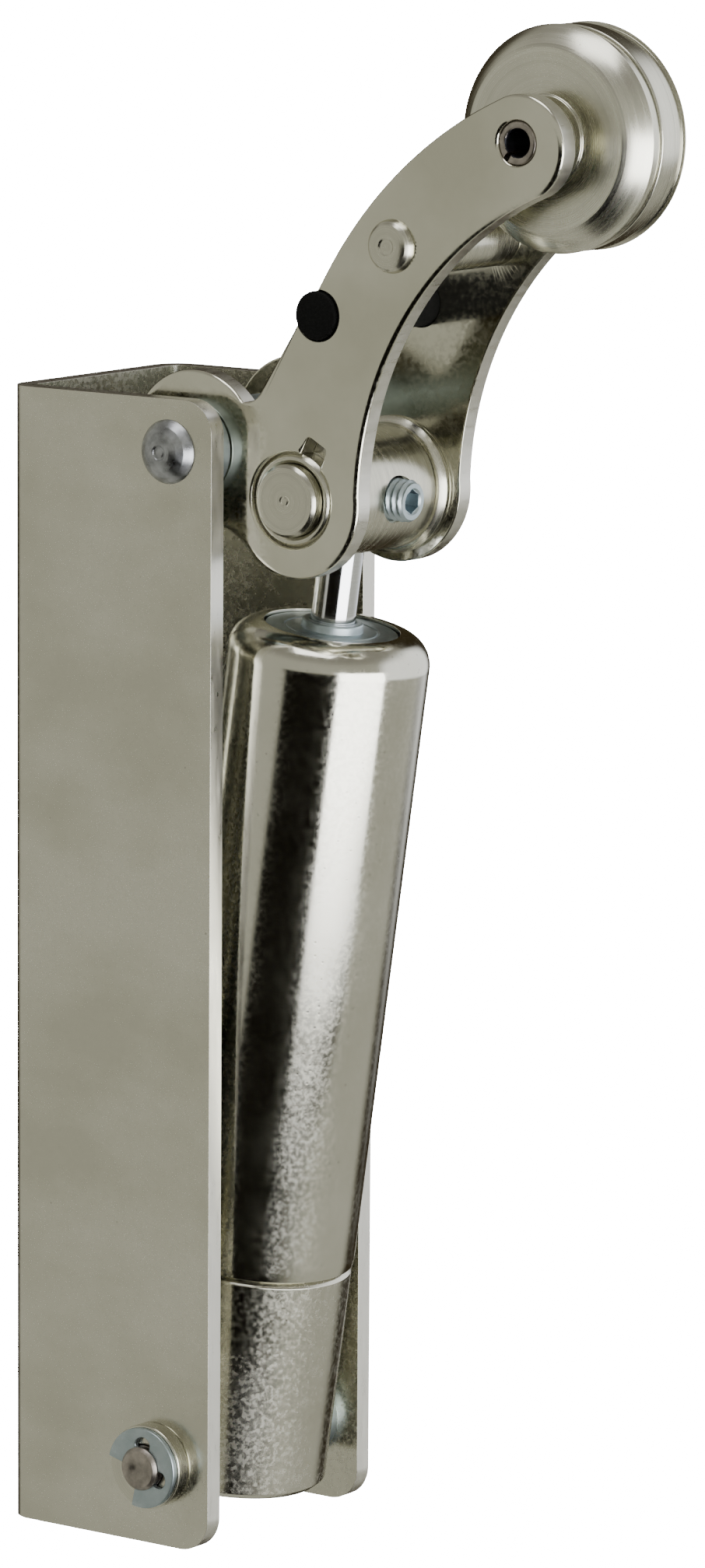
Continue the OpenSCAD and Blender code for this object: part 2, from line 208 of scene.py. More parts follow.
def on_y(at):
    """Places a piece drawn in its own X-Y plane so that its Z axis points to the near side."""
    return Matrix.Translation(mm(at[0], 0, at[1])) @ Matrix.Rotation(TAU / 4, 4, "X")


def on_cylinder():
    """The cylinder's axis: it starts at the eye of the base cap and points to the cross bolt."""
    axis = Vector((math.sin(LEAN), 0, math.cos(LEAN)))
    eye = Vector((BOLT.x, 0, BOLT.y)) - axis * EYE_DIST
    return Matrix.Translation(mm(*eye)) @ Matrix.Rotation(LEAN, 4, "Y")


def add_ring(bm, points):
    """Vertices for a list of points in millimetres."""
    return [bm.verts.new(mm(*p)) for p in points]


def bridge(bm, ring_a, ring_b, material=0):
    """Quads between two closed rings of the same length."""
    count = len(ring_a)
    for i in range(count):
        j = (i + 1) % count
        face = bm.faces.new((ring_a[i], ring_a[j], ring_b[j], ring_b[i]))
        face.material_index = material


def lathe(bm, profile, closed=False, segments=128, mirrored=False):
    """Turns a profile of (radius, height) points about Z. Radius 0 closes the end."""
    rings = []
    for radius, height in profile:
        if mirrored:
            height = -height
        if radius < 1e-6:
            rings.append(add_ring(bm, [(0, 0, height)]))
        else:
            rings.append(add_ring(bm, [(radius * math.cos(TAU * i / segments),
                                        radius * math.sin(TAU * i / segments), height)
                                       for i in range(segments)]))
    pairs = list(zip(rings, rings[1:]))
    if closed:
        pairs.append((rings[-1], rings[0]))
    for a, b in pairs:
        if len(a) == 1 and len(b) == 1:
            continue
        if len(a) == 1 or len(b) == 1:
            tip, ring = (a[0], b) if len(a) == 1 else (b[0], a)
            for i in range(segments):
                bm.faces.new((tip, ring[i], ring[(i + 1) % segments]))
        else:
            bridge(bm, a, b)


def plate(bm, outline, holes, low, high, roll_low, roll_high, steps=4, spread=1.0):
    """A flat plate with rounded rims. Its walls get material 1 and its faces material 0.

    A rim is as deep as its roll, and the outline's rims are wider by the factor spread.
    """
    loops = [outline if signed_area(outline) > 0 else outline[::-1]]
    loops += [hole if signed_area(hole) < 0 else hole[::-1] for hole in holes]
    shares = [[share * spread for share in roll_shares(loops[0])]]
    shares += [roll_shares(loop) for loop in loops[1:]]
    levels = []
    for k in range(steps + 1):
        a = TAU / 4 * k / steps
        levels.append((low + roll_low * (1 - math.cos(a)), roll_low * (1 - math.sin(a))))
    for k in range(steps, -1, -1):
        a = TAU / 4 * k / steps
        levels.append((high - roll_high * (1 - math.cos(a)), roll_high * (1 - math.sin(a))))
    for height, shift in (levels[0], levels[-1]):
        edges = []
        for loop, share in zip(loops, shares):
            ring = add_ring(bm, [(p.x, p.y, height) for p in shifted(loop, shift, share)])
            edges += [bm.edges.new((ring[i - 1], ring[i])) for i in range(len(ring))]
        bmesh.ops.triangle_fill(bm, use_beauty=True, use_dissolve=False, edges=edges)
    for loop, share in zip(loops, shares):
        rings = [add_ring(bm, [(p.x, p.y, height) for p in shifted(loop, shift, share)])
                 for height, shift in levels]
        for i, (a, b) in enumerate(zip(rings, rings[1:])):
            bridge(bm, a, b, material=1 if i == steps else 0)
    bmesh.ops.remove_doubles(bm, verts=bm.verts, dist=mm(0.0005))


def baked(obj):
    """Applies an object's modifiers to its mesh."""
    graph = bpy.context.evaluated_depsgraph_get()
    graph.update()
    mesh = bpy.data.meshes.new_from_object(obj.evaluated_get(graph))
    obj.modifiers.clear()
    obj.data = mesh


def new_object(name, bm, place):
    """Object from a bmesh, put in place in the row frame."""
    bmesh.ops.recalc_face_normals(bm, faces=bm.faces)
    mesh = bpy.data.meshes.new(name)
    bm.to_mesh(mesh)
    bm.free()
    obj = bpy.data.objects.new(name, mesh)
    bpy.context.scene.collection.objects.link(obj)
    obj.matrix_world = place
    bpy.context.view_layer.update()
    return obj


def cut(obj, bm, place, operation="DIFFERENCE"):
    """Cuts one closed shape out of an object, or keeps only what they share."""
    tool = new_object("cutting_tool", bm, place)
    change = obj.modifiers.new("cut", "BOOLEAN")
    change.object = tool
    change.operation = operation
    change.solver = "EXACT"
    baked(obj)
    bpy.data.objects.remove(tool)


def bevel(obj, width, segments=3, angle=35.0):
    """Rounds the sharp edges of an object."""
    change = obj.modifiers.new("rims", "BEVEL")
    change.width = mm(width)
    change.segments = segments
    change.limit_method = "ANGLE"
    change.angle_limit = math.radians(angle)
    baked(obj)


def settle(obj, materials, body, slot, *nodes, sharp=40.0):
    """Shades a finished piece, hangs it on the body it rides on, and hides the CAD nodes it
    stands for.
    """
    obj.data.shade_smooth()
    obj.data.set_sharp_from_angle(angle=math.radians(sharp))
    even = obj.modifiers.new("even_shading", "WEIGHTED_NORMAL")
    even.keep_sharp = True
    for material in materials:
        obj.data.materials.append(material)
    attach(obj, body)
    if nodes:
        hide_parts(*nodes)
    return obj


def turned(name, profile, place, materials, body, slot, *nodes, closed=True, rim=0.15,
           both_sides=False, segments=128):
    """A turned piece from the corners of its profile."""
    bm = bmesh.new()
    smooth = soften(profile, rim, closed=closed)
    lathe(bm, smooth, closed=closed, segments=segments)
    if both_sides:
        lathe(bm, smooth, closed=closed, segments=segments, mirrored=True)
    obj = new_object(name, bm, place)
    return settle(obj, materials, body, slot, *nodes)


def sleeve(outer, inner, low, high):
    """Profile of a plain ring."""
    return [(inner, low), (outer, low), (outer, high), (inner, high)]


def cylinder_tool(radius, low, high, segments=96):
    """A closed cylinder about Z for cutting."""
    bm = bmesh.new()
    lathe(bm, [(0, low), (radius, low), (radius, high), (0, high)], segments=segments)
    return bm


# ---------------------------------------------------------------- materials

class Nodes:
    """A node tree with short calls for its nodes."""

    def __init__(self, tree):
        self.tree = tree

    def node(self, kind, settings=None, **inputs):
        made = self.tree.nodes.new(kind)
        for key, value in (settings or {}).items():
            setattr(made, key, value)
        for key, value in inputs.items():
            self.put(made.inputs[key.replace("_", " ")], value)
        return made

    def put(self, socket, value):
        if isinstance(value, bpy.types.NodeSocket):
            self.tree.links.new(value, socket)
        else:
            socket.default_value = value

    def math(self, operation, *values):
        made = self.node("ShaderNodeMath", {"operation": operation})
        for socket, value in zip(made.inputs, values):
            self.put(socket, value)
        return made.outputs[0]

    def mix(self, amount, first, second):
        made = self.node("ShaderNodeMix", {"data_type": "RGBA"}, Factor=amount)
        for socket, value in zip(made.inputs[6:8], (first, second)):
            self.put(socket, (*value, 1.0) if isinstance(value, tuple) else value)
        return made.outputs[2]

    def rise(self, value, low, high):
        """Soft rise from 0 at low to 1 at high."""
        made = self.node("ShaderNodeMapRange", {"interpolation_type": "SMOOTHSTEP"},
                         Value=value, From_Min=low, From_Max=high)
        return made.outputs["Result"]


class Shader(Nodes):
    """A Principled material, with textures in the piece's own space."""

    def __init__(self, name):
        self.material = bpy.data.materials.new(name)
        self.material.use_nodes = True
        super().__init__(self.material.node_tree)
        self.surface = self.tree.nodes["Principled BSDF"]
        self.object_point = self.node("ShaderNodeTexCoord").outputs["Object"]

    def noise(self, scale, detail=3.0, roughness=0.55, point=None):
        made = self.node("ShaderNodeTexNoise", Scale=scale, Detail=detail, Roughness=roughness,
                         Vector=point or self.object_point)
        return made.outputs["Fac"]

    def noise_1d(self, place, detail=2.0):
        made = self.node("ShaderNodeTexNoise", {"noise_dimensions": "1D"}, W=place,
                         Scale=1.0, Detail=detail)
        return made.outputs["Fac"]

    def stretched(self, turn, stretch):
        made = self.node("ShaderNodeMapping", Vector=self.object_point,
                         Rotation=[math.radians(a) for a in turn], Scale=stretch)
        return made.outputs["Vector"]

    def between(self, value, low, high, to_low=0.0, to_high=1.0):
        made = self.node("ShaderNodeMapRange", Value=value, From_Min=low, From_Max=high,
                         To_Min=to_low, To_Max=to_high)
        return made.outputs["Result"]

    def bump(self, height, depth):
        """Bump from a height of 0 to 1 that stands for a depth in millimetres."""
        made = self.node("ShaderNodeBump", Height=height, Distance=mm(depth), Strength=1.0)
        self.put(self.surface.inputs["Normal"], made.outputs["Normal"])

    def set(self, **inputs):
        for key, value in inputs.items():
            if isinstance(value, tuple):
                value = (*value, 1.0)
            self.put(self.surface.inputs[key.replace("_", " ")], value)

    def radius(self):
        """Distance from the piece's own Z axis, in metres."""
        flat = self.node("ShaderNodeVectorMath", {"operation": "MULTIPLY"})
        self.put(flat.inputs[0], self.object_point)
        self.put(flat.inputs[1], (1, 1, 0))
        length = self.node("ShaderNodeVectorMath", {"operation": "LENGTH"})
        self.put(length.inputs[0], flat.outputs["Vector"])
        return length.outputs["Value"]

    def height(self):
        """Height along the piece's own Z axis, in metres."""
        return self.node("ShaderNodeSeparateXYZ", Vector=self.object_point).outputs["Z"]

    def specks(self, per_metre, size, share):
        """Small scattered spots: 1 in a spot and 0 around it."""
        cells = self.node("ShaderNodeTexVoronoi", Vector=self.object_point, Scale=per_metre)
        inside = self.between(cells.outputs["Distance"], size, size * 0.4)
        picked = self.node("ShaderNodeSeparateColor", Color=cells.outputs["Color"]).outputs[0]
        return self.math("MULTIPLY", inside, self.math("LESS_THAN", picked, share))


def nickel_sheet(name, tone=(0.61, 0.60, 0.52), dull=0.22, pitted=1.0):
    """Nickel plated sheet: soft reflections, faint clouds, smears, dark specks and pits."""
    s = Shader(name)
    clouds = s.noise(45.0, detail=4.0)
    smears = s.noise(28.0, detail=3.0, point=s.stretched((0, 38, 0), (1.0, 1.0, 3.0)))
    grain = s.noise(2600.0, detail=2.0)
    shade = s.math("ADD", s.math("MULTIPLY", clouds, 0.6), s.math("MULTIPLY", smears, 0.4))
    darker = (tone[0] * 0.90, tone[1] * 0.90, tone[2] * 0.87)
    paler = tuple(min(c * 1.09, 1.0) for c in tone)
    colour = s.mix(s.between(shade, 0.40, 0.59), darker, paler)
    spots = s.specks(260.0, 0.06, 0.12)
    colour = s.mix(s.math("MULTIPLY", spots, 0.6), colour, (0.16, 0.14, 0.12))
    fleck = s.between(s.noise(1500.0, detail=3.0), 0.38, 0.62, -0.05, 0.07)
    roughness = s.between(shade, 0.3, 0.7, dull - 0.05, dull + 0.07)
    s.set(Base_Color=colour, Metallic=1.0, Roughness=s.math("ADD", roughness, fleck))
    s.bump(s.math("ADD", grain, s.math("MULTIPLY", spots, -2.0)), 0.0010 * pitted)
    return s.material


def cut_edge(name):
    """Punched edge of the sheet: bright nickel with streaks along the punch's travel."""
    s = Shader(name)
    streaks = s.noise(1400.0, detail=3.0, point=s.stretched((0, 0, 0), (1.0, 1.0, 0.15)))
    colour = s.mix(streaks, (0.58, 0.57, 0.52), (0.72, 0.71, 0.65))
    s.set(Base_Color=colour, Metallic=1.0, Roughness=s.between(streaks, 0.3, 0.7, 0.26, 0.38))
    s.bump(streaks, 0.004)
    return s.material


def turned_nickel(name, tone=(0.62, 0.61, 0.52), dull=0.22):
    """Nickel plated turned steel: rings left by the tool on its faces and its sides."""
    s = Shader(name)
    along = s.math("ADD", s.radius(), s.math("MULTIPLY", s.height(), 0.83))
    rings = s.noise_1d(s.math("MULTIPLY", along, 10000.0), detail=2.0)
    wide_rings = s.noise_1d(s.math("MULTIPLY", along, 1400.0), detail=1.0)
    clouds = s.noise(120.0, detail=3.0)
    shade = s.math("ADD", s.math("MULTIPLY", rings, 0.35),
                   s.math("ADD", s.math("MULTIPLY", wide_rings, 0.35),
                          s.math("MULTIPLY", clouds, 0.3)))
    darker = tuple(c * 0.80 for c in tone)
    paler = tuple(min(c * 1.08, 1.0) for c in tone)
    colour = s.mix(s.between(shade, 0.35, 0.65), darker, paler)
    spots = s.specks(420.0, 0.10, 0.07)
    colour = s.mix(s.math("MULTIPLY", spots, 0.6), colour, (0.15, 0.13, 0.11))
    s.set(Base_Color=colour, Metallic=1.0,
          Roughness=s.between(shade, 0.35, 0.65, dull - 0.04, dull + 0.08))
    s.bump(rings, 0.0018)
    return s.material


def polished_nickel(name):
    """The drawn tube: clear reflections broken by fine pits, grain and drawing lines."""
    s = Shader(name)
    split = s.node("ShaderNodeSeparateXYZ", Vector=s.object_point)
    turn = s.math("ARCTAN2", split.outputs["Y"], split.outputs["X"])
    lines = s.noise_1d(s.math("MULTIPLY", turn, 95.0), detail=3.0)
    clouds = s.noise(70.0, detail=4.0)
    pits = s.specks(900.0, 0.20, 0.40)
    colour = s.mix(s.between(clouds, 0.3, 0.7), (0.58, 0.57, 0.49), (0.66, 0.65, 0.57))
    colour = s.mix(s.math("MULTIPLY", pits, 0.35), colour, (0.30, 0.28, 0.25))
    fleck = s.between(s.noise(1500.0, detail=3.0), 0.38, 0.62, -0.03, 0.04)
    roughness = s.between(clouds, 0.3, 0.7, 0.11, 0.18)
    s.set(Base_Color=colour, Metallic=1.0, Roughness=s.math("ADD", roughness, fleck))
    grain = s.noise(1800.0, detail=3.0)
    height = s.math("ADD", s.math("MULTIPLY", lines, 0.5),
                    s.math("SUBTRACT", grain, s.math("MULTIPLY", pits, 2.0)))
    s.bump(height, 0.0011)
    return s.material


def zinc_plate(name):
    """Bright blue zinc: cool, fairly glossy, with faint clouds of colour."""
    s = Shader(name)
    clouds = s.noise(320.0, detail=3.0)
    colour = s.mix(s.between(clouds, 0.35, 0.65), (0.36, 0.43, 0.46), (0.46, 0.53, 0.56))
    s.set(Base_Color=colour, Metallic=1.0, Roughness=s.between(clouds, 0.3, 0.7, 0.34, 0.44))
    s.bump(s.noise(5200.0, detail=2.0), 0.0022)
    return s.material


def plain_steel(name, tone=(0.36, 0.37, 0.39), dull=0.30):
    """Uncoated steel with a thin dark film and turning rings."""
    s = Shader(name)
    along = s.math("ADD", s.radius(), s.math("MULTIPLY", s.height(), 0.83))
    rings = s.noise_1d(s.math("MULTIPLY", along, 6500.0), detail=2.0)
    film = s.noise(500.0, detail=4.0)
    darker = tuple(c * 0.62 for c in tone)
    paler = tuple(min(c * 1.25, 1.0) for c in tone)
    colour = s.mix(s.between(film, 0.34, 0.66), darker, paler)
    s.set(Base_Color=colour, Metallic=1.0,
          Roughness=s.between(film, 0.3, 0.7, dull - 0.05, dull + 0.1))
    s.bump(s.math("ADD", rings, s.math("MULTIPLY", film, 0.6)), 0.004)
    return s.material


def hard_chrome(name):
    """Ground chrome rod with fine rings."""
    s = Shader(name)
    rings = s.noise_1d(s.math("MULTIPLY", s.height(), 5200.0), detail=3.0)
    s.set(Base_Color=s.mix(rings, (0.70, 0.72, 0.75), (0.84, 0.85, 0.87)), Metallic=1.0,
          Roughness=s.between(rings, 0.3, 0.7, 0.06, 0.14))
    s.bump(rings, 0.0012)
    return s.material


def black_rubber(name):
    """Matt rubber with a fine tooth."""
    s = Shader(name)
    tooth = s.noise(2400.0, detail=4.0)
    colour = s.mix(s.between(tooth, 0.35, 0.65), (0.003, 0.003, 0.003), (0.009, 0.009, 0.009))
    s.set(Base_Color=colour, Roughness=s.between(tooth, 0.3, 0.7, 0.65, 0.85),
          Specular_IOR_Level=0.12)
    s.bump(tooth, 0.02)
    return s.material


def sintered_bronze(name):
    """Porous bronze bush."""
    s = Shader(name)
    pores = s.noise(3000.0, detail=3.0)
    colour = s.mix(s.between(pores, 0.4, 0.6), (0.30, 0.19, 0.09), (0.58, 0.42, 0.21))
    s.set(Base_Color=colour, Metallic=1.0, Roughness=s.between(pores, 0.3, 0.7, 0.35, 0.5))
    s.bump(pores, 0.01)
    return s.material


SHEET_NICKEL = nickel_sheet("nickel_sheet")
ARM_NICKEL = nickel_sheet("arm_nickel", tone=(0.62, 0.61, 0.52), dull=0.13)
EDGE = cut_edge("cut_edge")
TURNED = turned_nickel("turned_nickel")
CAP_NICKEL = nickel_sheet("cap_nickel", tone=(0.58, 0.57, 0.50), dull=0.20, pitted=3.6)
ROLLER_NICKEL = turned_nickel("roller_nickel", tone=(0.67, 0.66, 0.57), dull=0.23)
POLISHED = polished_nickel("polished_nickel")
ZINC = zinc_plate("zinc")
STEEL = plain_steel("plain_steel")
PIN_STEEL = plain_steel("pin_steel", tone=(0.34, 0.31, 0.28), dull=0.32)
# Near-black steel for the roller pin's bore: painted shade for the deep bore, which is the same
# rolled steel as the outside.
BORE_SHADE = plain_steel("bore_painted_shade", tone=(0.03, 0.03, 0.035), dull=0.5)
CHROME = hard_chrome("hard_chrome")
RUBBER = black_rubber("black_rubber")
BRONZE = sintered_bronze("sintered_bronze")

FINISH = {
    "nickel_plate": SHEET_NICKEL,
    "nickel_turned": TURNED,
    "nickel_polished": POLISHED,
    "zinc": ZINC,
    "dark_steel": STEEL,
    "hard_chrome": CHROME,
    "bronze": BRONZE,
    "black_rubber": RUBBER,
}


def finish_cad_nodes():
    """Gives every CAD node the material of its slot."""
    for part in frame["record"]["subparts"]:
        node = frame["nodes"][part["node"]]
        node.data.materials.clear()
        node.data.materials.append(FINISH[part["material_slot"]])


# ---------------------------------------------------------------- housing

def channel_outline():
    """Section of the channel in X and Y, counter-clockwise."""
    depth, half = HOUSING_HIGH.x, HALF_W
    inner, inner_r = HALF_W - SHEET, BEND_R - SHEET
    outer = [Vector((depth, half))]
    outer += arc((BEND_R, half - BEND_R), BEND_R, 90, 180, 6)
    outer += arc((BEND_R, BEND_R - half), BEND_R, 180, 270, 6)
    outer += [Vector((depth, -half)), Vector((depth, -inner))]
    outer += arc((BEND_R, inner_r - inner), inner_r, 270, 180, 10)
    outer += arc((BEND_R, inner - inner_r), inner_r, 180, 90, 10)
    return outer + [Vector((depth, inner))]


def flange_outline():
    """Side view of the channel with its two rounded corners, in X and Z."""
    depth, half_h = HOUSING_HIGH.x, HOUSING_HIGH.z
    at = depth - CORNER_R
    loop = [Vector((-1, -half_h))]
    loop += arc((at, CORNER_R - half_h), CORNER_R, -90, 0, 4)
    loop += arc((at, half_h - CORNER_R), CORNER_R, 0, 90, 4)
    return loop + [Vector((-1, half_h))]


def build_housing():
    half_h = HOUSING_HIGH.z
    bm = bmesh.new()
    plate(bm, channel_outline(), [], -half_h, half_h, 0, 0, steps=1)
    housing = new_object("housing_sheet", bm, Matrix())
    bm = bmesh.new()
    plate(bm, flange_outline(), [], -HALF_W - 2, HALF_W + 2, 0, 0, steps=1)
    cut(housing, bm, on_y((0, 0)), "INTERSECT")
    for at, radius in ((PIVOT, PIVOT_R), (PIN, PIN_R)):
        cut(housing, cylinder_tool(radius + 0.08, -HALF_W - 3, HALF_W + 3), on_y(at))
    fixing_r, across, along, sink = 2.75, 18.0, 110.0, 1.7
    for y in (-across / 2, across / 2):
        for z in (-along / 2, along / 2):
            bm = bmesh.new()
            lathe(bm, [(0, -1), (fixing_r, -1), (fixing_r, SHEET - sink),
                       (fixing_r + sink + 0.2, SHEET + 0.2), (0, SHEET + 0.2)], segments=64)
            place = Matrix.Translation(mm(0, y, z)) @ Matrix.Rotation(TAU / 4, 4, "Y")
            cut(housing, bm, place)
    bevel(housing, 0.35, segments=4)
    for face in housing.data.polygons:
        middle = face.center * 1000
        across_sheet = abs(face.normal.y) < 0.35
        on_end = abs(face.normal.z) > 0.8
        on_rim = face.normal.x > 0.3 and middle.x > BEND_R
        on_corner = abs(face.normal.z) > 0.3 and middle.x > HOUSING_HIGH.x - CORNER_R - 1
        cut_face = across_sheet and (on_end or on_rim or on_corner)
        face.material_index = 1 if cut_face else 0
    settle(housing, [SHEET_NICKEL, EDGE], "housing_body", "nickel_plate", "housing", sharp=32)


def build_pivot():
    head_r, head_h, dimple_r = 4.4, 2.25, 0.85
    dome = [(0, head_h - 0.12), (dimple_r - 0.3, head_h - 0.12), (dimple_r, head_h - 0.28),
            (dimple_r + 0.25, head_h), (1.7, head_h - 0.1), (2.6, head_h - 0.42),
            (3.5, head_h - 1.0), (4.15, head_h - 1.7), (head_r, head_h - 2.15), (head_r, 0)]
    profile = [(radius, HALF_W + height) for radius, height in dome]
    bm = bmesh.new()
    smooth = soften(profile, 0.5, closed=False, steps=4, least=4)
    lathe(bm, smooth + [Vector((PIVOT_R, HALF_W)), Vector((PIVOT_R, 0))])
    lathe(bm, smooth + [Vector((PIVOT_R, HALF_W)), Vector((PIVOT_R, 0))], mirrored=True)
    rivet = new_object("pivot_rivet_turned", bm, on_y(PIVOT))
    settle(rivet, [STEEL], "housing_body", "dark_steel", "pivot_rivet", sharp=55)
    washer_r = 6.6
    turned("pivot_washer_pair", sleeve(washer_r, PIVOT_R + FIT, CHEEK_OUT + 0.2, HALF_W - SHEET),
           on_y(PIVOT), [ZINC], "housing_body", "zinc", "pivot_washers", both_sides=True)


def build_lower_pin():
    head_r, head_h, groove_r, chamfer, mark_r = 4.8, 2.2, 2.4, 0.45, 1.1
    collar_r, collar_h, spacer_r = 5.9, 2.4, 5.6
    end, groove = HALF_W + 4.1, (HALF_W + 2.45, HALF_W + 3.35)
    shaft = [(0, -HALF_W - head_h), (head_r, -HALF_W - head_h), (head_r, -HALF_W),
             (PIN_R, -HALF_W), (PIN_R, groove[0]), (groove_r, groove[0]), (groove_r, groove[1]),
             (PIN_R, groove[1]), (PIN_R, end - chamfer), (PIN_R - chamfer, end),
             (mark_r, end, 0), (mark_r - 0.3, end - 0.2, 0), (0, end - 0.25)]
    turned("lower_pin_turned", shaft, on_y(PIN), [PIN_STEEL], "housing_body", "dark_steel",
           "lower_pin", closed=False, rim=0.12)
    turned("pin_collar_turned", sleeve(collar_r, PIN_R + FIT, HALF_W, HALF_W + collar_h),
           on_y(PIN), [TURNED], "housing_body", "nickel_turned", "pin_collar", rim=0.3)
    turned("pin_spacer_pair", sleeve(spacer_r, PIN_R + FIT, TUBE_R + 0.2, HALF_W - SHEET),
           on_y(PIN), [ZINC], "housing_body", "zinc", "pin_spacers", both_sides=True)


def clip_outline():
    """Retaining clip about its opening, which points along +X before it is turned."""
    rim_r, grip_r, half_open, relief_at, relief_r = 5.65, 2.42, 42.0, 126.0, 1.25
    relief_out = 3.15
    loop = arc((0, 0), rim_r, half_open, 360 - half_open, 4)
    mouth = Vector((2.6, 2.05))
    loop.append(Vector((mouth.x, -mouth.y)))
    inner = []
    for turn in range(-40, -321, -5):
        direction = polar((0, 0), 1, turn)
        reach = grip_r
        for relief in (relief_at, -relief_at):
            middle = polar((0, 0), relief_out, relief)
            along = direction.dot(middle)
            off = middle.length_squared - along * along
            if along > 0 and off < relief_r ** 2:
                reach = max(reach, along + math.sqrt(relief_r ** 2 - off))
        inner.append(direction * reach)
    loop += inner
    loop.append(mouth)
    return soften(loop, 0.35)


def build_clip():
    opening, thick = 211.5, 0.8
    low = HALF_W + 2.5
    bm = bmesh.new()
    plate(bm, clip_outline(), [], low, low + thick, 0.1, 0.18)
    place = on_y(PIN) @ Matrix.Rotation(math.radians(opening), 4, "Z")
    clip = new_object("pin_clip_stamped", bm, place)
    settle(clip, [ZINC, ZINC], "housing_body", "zinc", "pin_clip")


# ---------------------------------------------------------------- arm

def cheek_outline():
    """The cheek's outline, counter-clockwise: two lobes and a curved arm up to the roller."""
    arc_at, arc_in, arc_out, fillet_r = Vector((102.5, 66.7)), 46.8, 60.9, 7.0
    low_lobe = BOLT + Vector((0.4, 0))
    to_roller = (ROLLER - arc_at).normalized()
    roller_turn = angle_of(ROLLER, arc_at)
    tip_at = arc_at + to_roller * (arc_in + arc_out) / 2
    tip_r = (arc_out - arc_in) / 2 + 0.03
    gap = low_lobe - PIVOT
    under = (PIVOT + low_lobe) / 2 + Vector((gap.y, -gap.x)).normalized() * math.sqrt(
        (LOBE_R + fillet_r) ** 2 - gap.length_squared / 4)
    valley, shoulder = Vector((38.6, 80.0)), Vector((48.8, 95.6))
    leaves = PIVOT + Vector((8.2, 6.8))
    notch_r = 3.32
    bite = meet(arc_at, arc_out, STOP, notch_r, -1)
    down = (valley - shoulder).normalized()
    offset = (STOP - shoulder).dot(down)
    miss = (STOP - shoulder - down * offset).length
    leave_bite = shoulder + down * (offset + math.sqrt(notch_r ** 2 - miss ** 2))
    bite_start = angle_of(bite, STOP)
    bite_turn = (angle_of(leave_bite, STOP) - bite_start) % 360 - 360
    loop = arc(PIVOT, LOBE_R, angle_of(leaves, PIVOT), angle_of(under, PIVOT) + 360)
    loop += arc(under, fillet_r, angle_of(PIVOT, under), angle_of(low_lobe, under))[1:]
    joins = meet(low_lobe, LOBE_R, arc_at, arc_in, 1)
    loop += arc(low_lobe, LOBE_R, angle_of(under, low_lobe), angle_of(joins, low_lobe))[1:]
    loop += arc(arc_at, arc_in, angle_of(joins, arc_at), roller_turn, 1.0)[1:]
    loop += arc(tip_at, tip_r, roller_turn - 180, roller_turn)[1:]
    loop += arc(arc_at, arc_out, roller_turn, angle_of(bite, arc_at), 1.0)[1:]
    loop += arc(STOP, notch_r, bite_start, bite_start + bite_turn, 6.0)[1:]
    rounded = soften([leave_bite, (*valley, 4.5), leaves], 4.5, closed=False, steps=10)
    return loop + rounded[1:-1]


def bush_hole():
    """Hole for the bush, with its key notch."""
    half, reach, turn = 1.8, 9.2, 61.0
    side = math.degrees(math.asin(half / BUSH_R))
    loop = arc((0, 0), BUSH_R, side, 360 - side)
    loop += [Vector((reach, -half)), Vector((reach, half))]
    loop = soften(loop, 0.5)
    spin = Matrix.Rotation(math.radians(turn), 2)
    return [BOLT + spin @ p for p in loop]


def build_cheeks():
    holes = [circle(PIVOT, PIVOT_R + 0.08), bush_hole(), circle(ROLLER, ROLLER_PIN_R + 0.02),
             circle(SPACER, SHANK_R)]
    outline = cheek_outline()
    inner_roll, outer_roll = 0.15, 0.5
    for name, node, levels in (
            ("near_cheek_stamped", "near_cheek", (CHEEK_IN, CHEEK_OUT, inner_roll, outer_roll)),
            ("far_cheek_stamped", "far_cheek", (-CHEEK_OUT, -CHEEK_IN, outer_roll, inner_roll))):
        bm = bmesh.new()
        plate(bm, outline, holes, *levels, spread=2.0)
        cheek = new_object(name, bm, on_y((0, 0)))
        settle(cheek, [ARM_NICKEL, EDGE], "arm", "nickel_plate", node, sharp=50)


def build_arm_pins():
    tube_r, body_r, head_r, head_h, stop_r = 6.1, 4.3, 3.7, 1.4, 3.3
    turned("pivot_tube_turned", sleeve(tube_r, PIVOT_R + FIT, -CHEEK_IN, CHEEK_IN),
           on_y(PIVOT), [ZINC], "arm", "zinc", "pivot_tube")
    head = CHEEK_OUT + head_h
    rivet = [(0, head - 0.16), (1.0, head - 0.16), (1.25, head), (2.3, head - 0.05),
             (2.9, head - 0.25), (3.35, head - 0.65), (head_r, CHEEK_OUT),
             (SHANK_R, CHEEK_OUT), (SHANK_R, CHEEK_IN), (body_r, CHEEK_IN), (body_r, 0)]
    turned("spacer_rivet_turned", rivet, on_y(SPACER), [TURNED], "arm", "nickel_turned",
           "spacer_rivet", closed=False, both_sides=True)
    reach = CHEEK_OUT + 0.3
    turned("stop_rod_moulded", [(0, reach), (stop_r, reach), (stop_r, 0)], on_y(STOP), [RUBBER],
           "arm", "black_rubber", "stop_rod", closed=False, both_sides=True, rim=0.4)


def build_roller_pin():
    """Slotted pin rolled from strip: a tube with a slot and rounded ends."""
    slot_at, half_gap, inner_r, roll = 230.0, 8.0, 1.85, 0.42
    outer = arc((0, 0), ROLLER_PIN_R, slot_at + half_gap, slot_at + 360 - half_gap)
    inner = arc((0, 0), inner_r, slot_at + 360 - half_gap, slot_at + half_gap)
    bm = bmesh.new()
    end = CHEEK_OUT - 0.2
    plate(bm, soften(outer + inner, 0.15), [], -end, end, roll, roll)
    pin = new_object("roller_pin_rolled", bm, on_y(ROLLER))
    # The bore's faces get the near-black steel: painted shade in the deep bore.
    for face in pin.data.polygons:
        in_bore = math.hypot(face.center.x, face.center.y) < mm(inner_r + 0.15)
        face.material_index = 1 if in_bore else 0
    settle(pin, [PIN_STEEL, BORE_SHADE], "arm", "zinc", "roller_pin")


